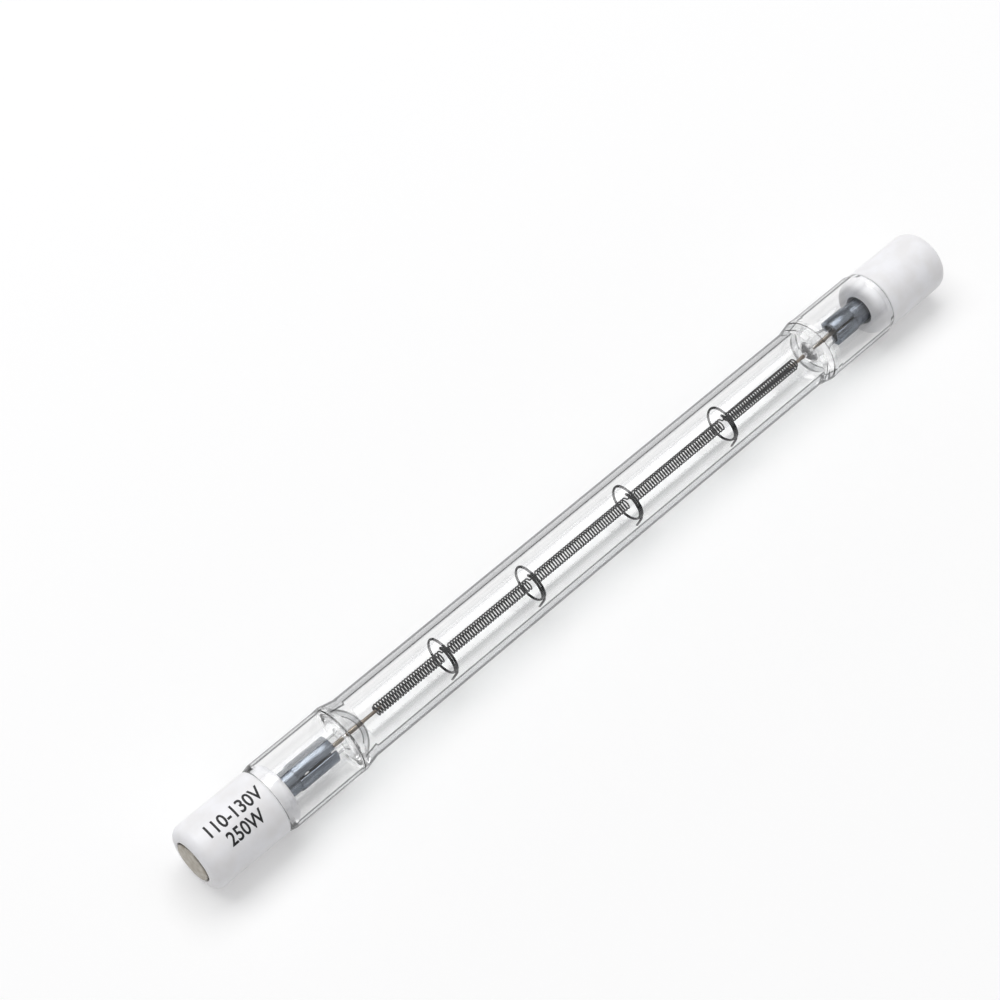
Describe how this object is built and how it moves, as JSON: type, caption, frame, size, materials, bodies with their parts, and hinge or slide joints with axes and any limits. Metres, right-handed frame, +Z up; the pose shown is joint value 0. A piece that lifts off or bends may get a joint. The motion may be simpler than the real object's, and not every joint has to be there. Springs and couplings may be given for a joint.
{
  "type": "linear halogen bulb",
  "caption": "Linear halogen bulb: a clear quartz tube with a coiled filament on wire rings, closed by a round ceramic cap with a recessed contact button at each end.",
  "frame": {"origin": "middle of the bulb, on the tube's axis, halfway between the two contact faces", "axes": "+X along the tube's axis, from the near cap (which carries the print) to the far cap; +Z up"},
  "size_m": [0.1176, 0.0084, 0.0084],
  "materials": {
    "quartz": "clear fused quartz",
    "ceramic": "satin pressed steatite",
    "contact": "dull nickel",
    "lead_wire": "drawn wire, heat tinted",
    "sleeve": "rolled nickel strip, satin",
    "cement": "matte cement",
    "filament": "drawn tungsten",
    "support_wire": "drawn tungsten"
  },
  "bodies": {
    "root": {"quartz_envelope": "quartz", "ceramic_cap_near": "ceramic", "ceramic_cap_far": "ceramic", "contact_near": "contact", "contact_far": "contact", "outer_lead_near": "lead_wire", "outer_lead_far": "lead_wire", "inner_lead_near": "lead_wire", "inner_lead_far": "lead_wire", "lead_sleeve_near": "sleeve", "lead_sleeve_far": "sleeve", "cement_near": "cement", "cement_far": "cement", "filament": "filament", "filament_support_1": "support_wire", "filament_support_2": "support_wire", "filament_support_3": "support_wire", "filament_support_4": "support_wire"}
  },
  "joints": []
}
